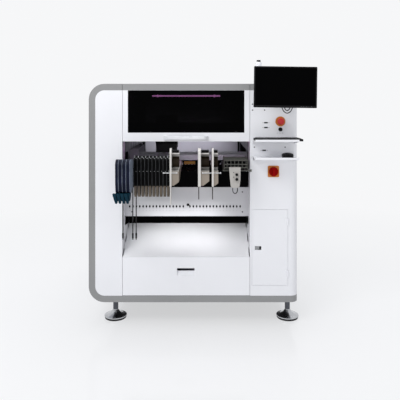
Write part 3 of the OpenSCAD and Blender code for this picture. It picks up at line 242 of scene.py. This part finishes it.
def dark_glass(name, colour, clear=0.0):
    """Black glass with faint wipe marks; clear is the share of light that its front lets through.

    The pane's back face is nearly clear, so that the light is dimmed once.
    """
    material, tree, bsdf = new_material(name)
    smears = grain(tree, 7, 5, (1, 1, 0.3))
    tree.links.new(
        blend_colour(tree, remap(tree, smears, 0, 1), colour, darker(colour, 1.6)),
        bsdf.inputs["Base Color"],
    )
    tree.links.new(remap(tree, smears, 0.06, 0.16), bsdf.inputs["Roughness"])
    add_bump(tree, bsdf, grain(tree, 9, 2), 0.00002, 0.1)
    if clear:
        behind = zone(tree, {"Y": (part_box("front_window")[0][1] + 1 * MM, None)})
        tree.links.new(remap(tree, behind, 1 - clear, BACK_ALPHA, 0, 1), bsdf.inputs["Alpha"])
    bsdf.inputs["Specular IOR Level"].default_value = GLASS_SHINE
    return material


def glowing(name, colour, strength):
    """A lamp's diffuser, brighter in its middle patches."""
    material, tree, bsdf = new_material(name)
    uneven = remap(tree, grain(tree, 20, 3), 0, 1)
    tint = blend_colour(tree, uneven, darker(colour, 0.85), colour)
    tree.links.new(tint, bsdf.inputs["Base Color"])
    tree.links.new(tint, bsdf.inputs["Emission Color"])
    bsdf.inputs["Emission Strength"].default_value = strength
    tree.links.new(remap(tree, grain(tree, 60, 2), 0.35, 0.5), bsdf.inputs["Roughness"])
    add_bump(tree, bsdf, grain(tree, 700, 2), 0.00003)
    return material


# ---------------------------------------------------------------- materials

# Where a second colour starts on a node: the hood's grey band, the outer face of the rear panel, the rim
# of the reels, the feet's spindles, and the brackets of the wide feeders
BAND_EDGE = DATUM + 1397 * MM
BAND_BACK = FRONT + 52 * MM
REAR_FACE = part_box("rear_panel")[1][1] - 1 * MM
REEL_RIM = DATUM + 1033 * MM
SPINDLE_FOOT = 54 * MM
REEL_FOOT = DATUM + 930 * MM
BRACKET_FACE = FRONT - 183 * MM

WHITE_TONE = (0.80, 0.805, 0.835)
GREY_TONE = (0.27, 0.272, 0.274)
SKIN_TONE = (0.77, 0.775, 0.81)
LAVENDER_TONE = (0.44, 0.43, 0.50)
BLACK_TONE = (0.003, 0.003, 0.0035)

WHITE = coated("white_coat", WHITE_TONE)
# The chute wears a paler copy of the white coat: painted light, for the light that falls on its slope.
CHUTE_PAINTED_LIGHT = coated("chute_coat_painted_light", (0.93, 0.935, 0.96), 0.38, 0.95)
HOOD_COAT = coated("hood_coat", WHITE_TONE,
                   other=(GREY_TONE, {"Z": (BAND_EDGE, None), "Y": (None, BAND_BACK)}))
SKIN = coated("skin_coat", SKIN_TONE, 0.45)
GREY = coated("grey_coat", GREY_TONE, 0.46, 0.9)
LAVENDER = coated("lavender_coat", LAVENDER_TONE, 0.55, 0.88,
                  other=(SKIN_TONE, {"Y": (REAR_FACE, None)}))
PANEL_GREY = coated("panel_coat", (0.58, 0.58, 0.605), 0.5, 0.88)
INNER_GREY = coated("inner_coat", (0.30, 0.29, 0.34), 0.5, 0.86)
FRAME_BLACK = coated("frame_coat", (0.006, 0.006, 0.007), 0.55, 0.8, gloss=0.2)
BANK_BLACK = coated("bank_anodise", (0.001, 0.001, 0.0012), 0.55, 0.75, gloss=0.03)
CAST = coated("bed_cast", (0.02, 0.021, 0.024), 0.62, 0.75, 350, 0.0002, gloss=0.2)
CHROME = brushed("chrome", (0.52, 0.53, 0.55), 0.17, (1, 1, 1),
                 other=((0.10, 0.105, 0.12), {"Z": (SPINDLE_FOOT, None)}))
STEEL = brushed("steel", (0.46, 0.47, 0.49), 0.34)
DARK_STEEL = brushed("dark_steel", (0.05, 0.05, 0.055), 0.4, (30, 1, 30))
RAIL_ANODISE = coated("rail_anodise", (0.50, 0.49, 0.55), 0.4, 0.85)
STICK_STEEL = brushed("stick_steel", (0.075, 0.075, 0.065), 0.45, (1, 30, 30), 0.4)
RUBBER = moulded("rubber", (0.008, 0.008, 0.009), 0.75, 500, 0.00008, gloss=0.3)
BLACK = moulded("black_plastic", (0.003, 0.003, 0.0035), 0.45, gloss=0.15)
KEYS = moulded("key_caps", (0.005, 0.005, 0.006), 0.6, 1800, 0.00004, 1.5, gloss=0.2)
COMPUTER = coated("computer_coat", (0.15, 0.16, 0.17), 0.5, 0.85)
PITCH_MM = 20.9
FEEDER_PITCH = PITCH_MM * MM
# The pale stripes on the navy and the black feeder plates are their bare edges with a painted highlight.
NAVY = striped(
    "navy_plates_painted_highlight", (0.002, 0.0035, 0.012), (0.20, 0.23, 0.29), FEEDER_PITCH,
    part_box("navy_feeders")[0][0] + 15.5 * MM, 0.17, gloss=0.1,
)
TEAL = moulded("teal_plastic", (0.0015, 0.019, 0.033), 0.45, gloss=0.1)
FEEDER_BLACK = striped(
    "feeder_plates_painted_highlight", (0.0009, 0.0009, 0.001), (0.10, 0.104, 0.11), FEEDER_PITCH,
    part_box("black_feeders")[0][0] - 0.4 * MM, 0.09, 0.45, gloss=0.04,
)
TAN = moulded("tan_plastic", (0.115, 0.092, 0.070), 0.5, 1200, 0.00005, 0.7, gloss=0.25)
PALE = coated("pale_metal", (0.62, 0.60, 0.575), 0.4, 0.85,
              other=((0.27, 0.23, 0.19), {"Y": (BRACKET_FACE, None), "Z": (None, REEL_FOOT)}))
BOX_PALE = moulded("box_plastic", (0.36, 0.345, 0.325), 0.45, 1200, 0.00005, 1.2)
BRONZE = coated("reel_bronze", (0.018, 0.011, 0.005), 0.4, 0.5, 900, 0.00005, 0.12,
                other=(BLACK_TONE, {"Z": (REEL_RIM, None)}))
GLASS = dark_glass("window_glass", (0.0003, 0.0003, 0.0004), 0.008)
SCREEN = dark_glass("screen_glass", (0.0003, 0.0003, 0.0004))
PINK = glowing("pink_lamp", (0.60, 0.22, 0.56), 44)
HANDLE = moulded("handle_plastic", (0.76, 0.77, 0.80), 0.3, 1600, 0.00003, 0.96)
ORANGE = moulded("orange_plate", (0.55, 0.18, 0.032), 0.4, 1600, 0.00003, 0.9, gloss=0.2)
RED = moulded("stop_red", (0.56, 0.014, 0.016), 0.33, 1600, 0.00003, 0.85, gloss=0.4)
KNOB_RED = moulded("knob_red", (0.27, 0.001, 0.001), 0.45, 1600, 0.00003, 0.85, gloss=0.05)
LOCK = brushed("lock_metal", (0.36, 0.37, 0.38), 0.35, (30, 1, 1))
CORD = moulded("cord_jacket", (0.006, 0.006, 0.007), 0.5, 2200, 0.00003, gloss=0.3)
AMBER = coated("amber_plate", (0.40, 0.19, 0.025), 0.4, 0.7)
MARK = moulded("mark_grey", (0.34, 0.34, 0.36), 0.5)
SCREW = brushed("screw_steel", (0.10, 0.10, 0.11), 0.4, (1, 1, 1))
CLIP = brushed("clip_steel", (0.62, 0.63, 0.65), 0.3, (1, 1, 1))

NODE_MATERIALS = {
    WHITE: ("left_panel", "right_cabinet", "front_drawer", "cabinet_door", "trays", "signal_tower"),
    CHUTE_PAINTED_LIGHT: ("chute",),
    HOOD_COAT: ("front_hood",),
    SKIN: ("side_skins", "roof_panel", "bay_walls"),
    GREY: ("grey_bands",),
    LAVENDER: ("rear_panel", "rear_door"),
    PANEL_GREY: ("hole_panel",),
    INNER_GREY: ("entry_tunnels",),
    FRAME_BLACK: ("base_frame", "gantry_beam", "arm_plate", "monitor_arm"),
    BANK_BLACK: ("feeder_bank",),
    CAST: ("machine_bed",),
    CHROME: ("levelling_feet",),
    DARK_STEEL: ("gantry_rails",),
    STEEL: ("nozzle_rack", "width_screw", "nozzle_1", "nozzle_2", "nozzle_3", "nozzle_4"),
    RAIL_ANODISE: ("fixed_rail", "moving_rail"),
    STICK_STEEL: ("stick_feeder",),
    RUBBER: ("foot_pads",),
    BLACK: ("placement_head", "upward_cameras", "key_switch", "mouse", "monitor", "hose_fittings"),
    KEYS: ("keyboard",),
    COMPUTER: ("control_computer",),
    NAVY: ("navy_feeders",),
    TEAL: ("navy_handles",),
    FEEDER_BLACK: ("black_feeders",),
    TAN: ("feeder_grips",),
    PALE: ("wide_feeders",),
    BOX_PALE: ("control_box",),
    BRONZE: ("feeder_drives",),
    GLASS: ("front_window",),
    SCREEN: ("monitor_screen",),
    PINK: ("light_bar",),
    HANDLE: ("hood_handle",),
    ORANGE: ("switch_plates",),
    RED: ("stop_button",),
    KNOB_RED: ("main_knob",),
    LOCK: ("door_lock",),
    CORD: ("monitor_cables", "box_cable", "air_hoses"),
}


def wear(piece, material):
    """Gives a piece one material all over."""
    piece.data.materials.clear()
    piece.data.materials.append(material)


for material, nodes in NODE_MATERIALS.items():
    for node in nodes:
        wear(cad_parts[node], material)


# ---------------------------------------------------------------- modelling helpers


def settle(piece, name):
    """Names a piece and puts its place into its mesh, with the object at the origin."""
    bpy.ops.object.transform_apply(location=True, rotation=True, scale=True)
    piece.name = name
    return piece


def clear_selection():
    """Deselects everything before a new primitive is added."""
    bpy.ops.object.select_all(action="DESELECT")


def box_piece(name, low, high, round_by=0.0):
    """A box between two corners, its edges rounded by a bevel."""
    clear_selection()
    bpy.ops.mesh.primitive_cube_add(size=1, location=[(a + b) / 2 for a, b in zip(low, high)])
    piece = bpy.context.object
    piece.scale = [b - a for a, b in zip(low, high)]
    bpy.ops.object.transform_apply(location=False, rotation=False, scale=True)
    if round_by:
        bevel = piece.modifiers.new("bevel", "BEVEL")
        bevel.width = round_by
        bevel.segments = 2
        bpy.ops.object.modifier_apply(modifier=bevel.name)
    return settle(piece, name)


def disc_piece(name, centre, diameter, height, axis="Y", sides=24, dome=0.0):
    """A round or many-sided disc or rod about an axis, its rims bevelled where dome is given."""
    clear_selection()
    turn = {"Y": (math.pi / 2, 0, 0), "Z": (0, 0, 0), "X": (0, math.pi / 2, 0)}[axis]
    bpy.ops.mesh.primitive_cylinder_add(vertices=sides, radius=diameter / 2, depth=height, location=centre,
                                        rotation=turn)
    piece = bpy.context.object
    if dome:
        bevel = piece.modifiers.new("bevel", "BEVEL")
        bevel.width = dome
        bevel.segments = 3
        bevel.limit_method = "ANGLE"
        bpy.ops.object.modifier_apply(modifier=bevel.name)
    bpy.ops.object.shade_smooth_by_angle(angle=math.radians(40))
    return settle(piece, name)


def joined(name, parts, material, body):
    """Joins parts into one piece with one material, which rides on a body."""
    clear_selection()
    for part in parts:
        part.select_set(True)
    bpy.context.view_layer.objects.active = parts[0]
    if len(parts) > 1:
        bpy.ops.object.join()
    piece = bpy.context.view_layer.objects.active
    piece.name = name
    wear(piece, material)
    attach(piece, body)
    return piece


# ---------------------------------------------------------------- cords


def catmull(a, b, c, d, t):
    """A point between b and c on the smooth curve through four points."""
    return tuple(
        0.5 * (2 * q + (r - p) * t + (2 * p - 5 * q + 4 * r - s) * t * t + (3 * q - p - 3 * r + s) * t ** 3)
        for p, q, r, s in zip(a, b, c, d)
    )


def smooth(route, steps):
    """The route with steps points between each two of its own."""
    last = len(route) - 1
    points = []
    for i in range(last):
        around = (route[max(i - 1, 0)], route[i], route[i + 1], route[min(i + 2, last)])
        points += [catmull(*around, k / steps) for k in range(steps)]
    return points + [route[last]]


def tube(name, points, diameter):
    """A round cord along the points, as a curve with a round section."""
    curve = bpy.data.curves.new(name, "CURVE")
    curve.dimensions = "3D"
    curve.bevel_depth = diameter / 2
    curve.bevel_resolution = 4
    curve.use_fill_caps = True
    spline = curve.splines.new("POLY")
    spline.points.add(len(points) - 1)
    for point, place in zip(spline.points, points):
        point.co = (*place, 1)
    piece = bpy.data.objects.new(name, curve)
    bpy.context.collection.objects.link(piece)
    return piece


HOSE_D = 6 * MM
LEAD_D = 5 * MM
ROUTE_STEPS = 8
# Each hose's place along X with the height of its top, and the route that they share, as Y and height
HOSES = ((222, 866.9), (280, 866.9), (300, 845.6))
HOSE_ROUTE = ((-100, 820), (-99, 760), (-102, 680), (-100, 600), (-100, 560.3))
# The leads' loops, as X and height, and the Y that each keeps
MONITOR_LOOPS = (
    ((1128, 1323.5), (1130, 1297.5), (1141, 1273.5), (1160, 1263.5), (1179, 1273.5), (1190, 1297.5),
     (1192, 1322.6)),
    ((1142, 1323.5), (1143, 1300.5), (1150, 1283.5), (1160, 1278.5), (1170, 1283.5), (1177, 1300.5),
     (1178, 1322.8)),
)
MONITOR_LOOP_Y = -238
BOX_LOOP = ((862, 832.6), (861, 818), (866, 804), (875, 799), (884, 804), (889, 818), (888, 832.6))
BOX_LOOP_Y = -145


def hose_fitting(name, x):
    """The push-in fitting on a hose's end: a hexagon collar, a sleeve and a nozzle."""
    y = HOSE_ROUTE[-1][0]
    parts = [
        disc_piece("sleeve", at(x, y, 545), 10 * MM, 30 * MM, "Z", 24, 0.8 * MM),
        disc_piece("collar", at(x, y, 552), 11.5 * MM, 7 * MM, "Z", 6, 0.5 * MM),
        disc_piece("nozzle", at(x, y, 526), 6 * MM, 8.2 * MM, "Z", 20, 0.4 * MM),
    ]
    fitting = joined(name, parts, BLACK, "root")
    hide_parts("hose_fittings")
    return fitting


def add_cords():
    """The air hoses and the small loops of lead, where the CAD has them."""
    for number, (x, top) in enumerate(HOSES, 1):
        route = [at(x, HOSE_ROUTE[0][0], top)] + [at(x, y, z) for y, z in HOSE_ROUTE]
        points = smooth(route, ROUTE_STEPS)
        fitting = hose_fitting(f"hose_fitting_{number}", x)
        hose = tube(f"air_hose_{number}", points, HOSE_D)
        wear(hose, CORD)
        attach(hose, "root")
        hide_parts("air_hoses")
    for number, loop in enumerate(MONITOR_LOOPS, 1):
        points = smooth([at(x, MONITOR_LOOP_Y, z) for x, z in loop], ROUTE_STEPS)
        lead = tube(f"screen_lead_{number}", points, LEAD_D)
        wear(lead, CORD)
        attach(lead, "screen")
        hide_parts("monitor_cables")
    points = smooth([at(x, BOX_LOOP_Y, z) for x, z in BOX_LOOP], ROUTE_STEPS)
    lead = tube("box_lead", points, LEAD_D)
    wear(lead, CORD)
    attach(lead, "root")
    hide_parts("box_cable")


add_cords()


# ---------------------------------------------------------------- details


SCREW_PROUD = 1.2 * MM


def screws(name, places, diameter, material):
    """Button-head screws that stand proud of faces that look along -Y."""
    heads = [disc_piece(f"{name}_{number}", at(*place), diameter, 2 * SCREW_PROUD, "Y", 20, 0.6 * MM)
             for number, place in enumerate(places)]
    joined(name, heads, material, "root")


def add_right_front():
    """Ports, screws and marks on the right cabinet's white front."""
    screws("cabinet_screws", [(989, 0, 1313), (989, 0, 1277), (1062, 0, 1277), (1000, 0, 1053),
                              (1000, 0, 1001), (1186, 0, 1053), (1236, 0, 996)], 8 * MM, SCREW)
    shrouds = []
    for x, z in ((1070, 1201), (1070, 1172), (1059, 1034), (1059, 1016)):
        shrouds.append(box_piece("shroud", at(x - 11, -1.2, z - 4), at(x + 11, 0.5, z + 4), 0.5 * MM))
        for side in (-18, 18):
            shrouds.append(disc_piece("port_screw", at(x + side, 0, z), 4 * MM, 2 * MM, "Y", 16, 0.4 * MM))
    joined("data_ports", shrouds, BLACK, "root")
    marks = [box_piece("mark", at(x, -0.25, 1137), at(x + 10, 0.2, 1139.5)) for x in (1135, 1150, 1165)]
    joined("key_marks", marks, MARK, "root")


PANEL_FACE = 108
STATIONS = 33
FIRST_STATION_X = 232
LAST_BEFORE_GAP = 16


def add_hole_panel_details():
    """Corner screws, three rows of small dots, and black discs over the panel's holes, which are painted
    shade inside the holes.
    """
    screws("panel_screws", [(x, PANEL_FACE, z) for x, z in ((246, 640), (936, 640), (936, 764), (246, 764))],
           9 * MM, SCREW)
    # The row of stations leaves one place free past its middle
    stations = [FIRST_STATION_X + PITCH_MM * (k if k <= LAST_BEFORE_GAP else k + 1) for k in range(STATIONS)]
    dots = [disc_piece("dot", at(x, PANEL_FACE, z), 4.6 * MM, 0.5 * MM, "Y", 10)
            for x in stations for z in (688, 660, 648)]
    joined("panel_dots", dots, MARK, "root")
    # Black discs in the holes: painted shade.
    hole_shades = [disc_piece("hole_shade", at(x, PANEL_FACE, z), 10 * MM, 1.6 * MM, "Y", 18, 0.3 * MM)
            for x in stations for z in (671.5, 676.5)]
    hole_shades.append(disc_piece("hole_shade", at(596, PANEL_FACE, 684), 18 * MM, 1.6 * MM, "Y", 24, 0.3 * MM))
    joined("panel_hole_shade", hole_shades, BLACK, "root")


def add_band_screws():
    """Faint screws along the band under the drawer."""
    screws("band_screws", [(452, 0, 136), (694, 0, 136), (940, 0, 136)], 6 * MM, GREY)


def add_bank_plate():
    """The bare amber plate between the feeders."""
    plate = box_piece("amber_plate", at(565, 285.5, 916), at(638, 286.2, 935), 0.2 * MM)
    joined("amber_plate", [plate], AMBER, "root")


def add_monitor_marks():
    """Small marks over the monitor's keys, low on the right of its frame."""
    low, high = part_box("monitor")
    marks = []
    for k in range(5):
        x = high[0] - (36 + 14 * k) * MM
        marks.append(box_piece("mark", (x, low[1] - 0.2 * MM, low[2] + 7.5 * MM),
                               (x + 4 * MM, low[1] + 0.2 * MM, low[2] + 8.5 * MM)))
    joined("monitor_marks", marks, MARK, "screen")


BLACK_FEEDERS = 10


def add_feeder_clips():
    """The cover clips and guide pins at the noses of the short tape feeders."""
    left, front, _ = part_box("black_feeders")[0]
    clips = []
    for k in range(BLACK_FEEDERS):
        x = left + (k + 0.5) * FEEDER_PITCH
        for dx, z, tall in ((-3.5, 1012, 9), (4.5, 1004, 4), (-1, 957, 4), (3.5, 930, 3)):
            low = (x + (dx - 1.6) * MM, front + 2 * MM, DATUM + (z - tall / 2) * MM)
            high = (x + (dx + 1.6) * MM, front + 7 * MM, DATUM + (z + tall / 2) * MM)
            clips.append(box_piece("clip", low, high, 0.6 * MM))
    joined("feeder_clips", clips, CLIP, "root")


ROD_Y = -184
ROD_Z = 922


def add_feeder_rods():
    """The guide rods through the cheeks of the wide feeders, with their end collars."""
    rods = []
    for start, end in ((462, 546), (684, 794)):
        middle = at((start + end) / 2, ROD_Y, ROD_Z)
        rods.append(disc_piece("rod", middle, 5 * MM, (end - start) * MM, "X", 20, 0.6 * MM))
        for x in (start + 4, end - 4):
            rods.append(disc_piece("collar", at(x, ROD_Y, ROD_Z), 9 * MM, 5 * MM, "X", 20, 0.6 * MM))
    joined("feeder_rods", rods, CLIP, "root")


def add_box_knobs():
    """Two black knobs on the control box, and a small jack over each to its left."""
    front = (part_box("control_box")[0][1] - FRONT) / MM
    knobs = [disc_piece("knob", at(884, front, z), 16 * MM, 9 * MM, "Y", 32, 1.2 * MM) for z in (910, 883)]
    jacks = [disc_piece("jack", at(866, front, z), 5 * MM, 2.4 * MM, "Y", 20, 0.5 * MM) for z in (922, 896)]
    joined("box_knobs", knobs + jacks, BLACK, "root")


def add_tower_cap():
    """The dark beacon on the signal tower."""
    low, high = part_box("signal_tower")
    middle = ((low[0] + high[0]) / 2, (low[1] + high[1]) / 2)
    cap = disc_piece("tower_cap", (*middle, high[2] - 6.5 * MM), 26.4 * MM, 12 * MM, "Z", 40, 1 * MM)
    joined("tower_cap", [cap], BLACK, "root")


add_right_front()
add_hole_panel_details()
add_feeder_clips()
add_feeder_rods()
add_box_knobs()
add_tower_cap()
add_band_screws()
add_bank_plate()
add_monitor_marks()


# ---------------------------------------------------------------- studio

BACKDROP = (0.925, 0.93, 0.94)
CAMERA_PLACE = (696, -3100, 1320)
LENS = 46.2
SHIFT = (-0.010, -0.2425)
FLOOR_SIZE = 60
# The floor's own colour gives way to the background between these distances from its middle
FADE_NEAR = 0.9
FADE_FAR = 3.6
FADE_LEAST = 0.62
FILL = 0.52


def add_camera():
    """A level camera in front of the right half of the bay, at eye height."""
    data = bpy.data.cameras.new("camera")
    data.lens = LENS
    data.sensor_width = 36
    data.shift_x, data.shift_y = SHIFT
    data.clip_end = 60
    camera = bpy.data.objects.new("camera", data)
    camera.location = at(*CAMERA_PLACE)
    camera.rotation_euler = (math.radians(90), 0, 0)
    bpy.context.collection.objects.link(camera)
    bpy.context.scene.camera = camera


HIDDEN_SPREAD = math.radians(95)


def add_lamp(name, place, aim, size, watts, hidden=False, mirrored=True):
    """A soft rectangular lamp that looks at a point; a hidden one has a narrow beam and is never seen."""
    data = bpy.data.lights.new(name, "AREA")
    data.shape = "RECTANGLE"
    data.size, data.size_y = size
    data.energy = watts
    lamp = bpy.data.objects.new(name, data)
    lamp.location = place
    direction = [b - a for a, b in zip(place, aim)]
    flat = math.hypot(direction[0], direction[1])
    lamp.rotation_euler = (math.pi / 2 + math.atan2(direction[2], flat), 0,
                           math.atan2(direction[1], direction[0]) - math.pi / 2)
    lamp.visible_glossy = mirrored and not hidden
    if hidden:
        data.spread = HIDDEN_SPREAD
        lamp.visible_camera = False
        lamp.visible_transmission = False
    bpy.context.collection.objects.link(lamp)


def add_floor():
    """A pale floor that keeps the machine's shadow and runs out into the background."""
    clear_selection()
    bpy.ops.mesh.primitive_plane_add(size=FLOOR_SIZE, location=(0, 0, 0))
    floor = settle(bpy.context.object, "floor")
    material, tree, bsdf = new_material("floor_finish")
    cloudy = remap(tree, grain(tree, 0.6, 3), 0, 1)
    tint = blend_colour(tree, cloudy, (0.84, 0.85, 0.865), (0.88, 0.885, 0.90))
    tree.links.new(tint, bsdf.inputs["Base Color"])
    tree.links.new(remap(tree, grain(tree, 2.5, 3), 0.08, 0.12), bsdf.inputs["Roughness"])
    bsdf.inputs["Specular IOR Level"].default_value = 0.45
    far = tree.nodes.new("ShaderNodeEmission")
    far.inputs["Color"].default_value = (*BACKDROP, 1)
    place = tree.nodes.new("ShaderNodeTexCoord")
    reach = tree.nodes.new("ShaderNodeVectorMath")
    reach.operation = "LENGTH"
    tree.links.new(place.outputs["Object"], reach.inputs[0])
    blend = tree.nodes.new("ShaderNodeMixShader")
    share = remap(tree, reach.outputs["Value"], FADE_LEAST, 1, FADE_NEAR, FADE_FAR)
    tree.links.new(share, blend.inputs[0])
    tree.links.new(bsdf.outputs[0], blend.inputs[1])
    tree.links.new(far.outputs[0], blend.inputs[2])
    tree.links.new(blend.outputs[0], tree.nodes["Material Output"].inputs["Surface"])
    floor.data.materials.append(material)


def add_world():
    """Even pale light, with a pale background for the camera, glass and metal."""
    world = bpy.data.worlds.new("studio")
    bpy.context.scene.world = world
    world.use_nodes = True
    tree = world.node_tree
    tree.nodes.clear()
    rays = tree.nodes.new("ShaderNodeLightPath")
    seen = None
    for name in ("Is Camera Ray", "Is Glossy Ray", "Is Transmission Ray"):
        if seen is None:
            seen = rays.outputs[name]
            continue
        larger = tree.nodes.new("ShaderNodeMath")
        larger.operation = "MAXIMUM"
        tree.links.new(seen, larger.inputs[0])
        tree.links.new(rays.outputs[name], larger.inputs[1])
        seen = larger.outputs[0]
    fill = tree.nodes.new("ShaderNodeBackground")
    fill.inputs["Color"].default_value = (0.93, 0.95, 1.0, 1)
    fill.inputs["Strength"].default_value = FILL
    backdrop = tree.nodes.new("ShaderNodeBackground")
    backdrop.inputs["Color"].default_value = (*BACKDROP, 1)
    backdrop.inputs["Strength"].default_value = 1.0
    either = tree.nodes.new("ShaderNodeMixShader")
    output = tree.nodes.new("ShaderNodeOutputWorld")
    tree.links.new(seen, either.inputs[0])
    tree.links.new(fill.outputs[0], either.inputs[1])
    tree.links.new(backdrop.outputs[0], either.inputs[2])
    tree.links.new(either.outputs[0], output.inputs["Surface"])


def add_studio():
    """Camera, lamps, floor and world."""
    add_camera()
    add_lamp("key_lamp", (-2.1, -3.4, 3.8), (-0.3, -0.8, 1.2), (2.4, 1.8), 84)
    add_lamp("front_lamp", (0.2, -5.2, 1.5), (0, 0, 0.7), (3.0, 1.6), 30, mirrored=False)
    add_lamp("top_lamp", (0, -0.5, 4.0), (0, 0, 1), (3.0, 2.4), 50)
    add_lamp("back_lamp", (0.5, 3.4, 5.2), (0, 0.5, 1), (2.6, 1.6), 70)
    add_lamp("bay_lamp", at(620, 150, 1122), at(620, 840, 900), (0.5, 0.04), 0.35, hidden=True)
    add_lamp("wall_lamp", at(565, 1010, 1090), at(520, 1377, 985), (0.7, 0.05), 0.8, hidden=True)
    add_lamp("chute_lamp", at(583, -80, 650), at(583, 170, 530), (0.46, 0.05), 0.3, hidden=True)
    add_floor()
    add_world()
    bpy.context.scene.view_settings.view_transform = "Standard"


add_studio()
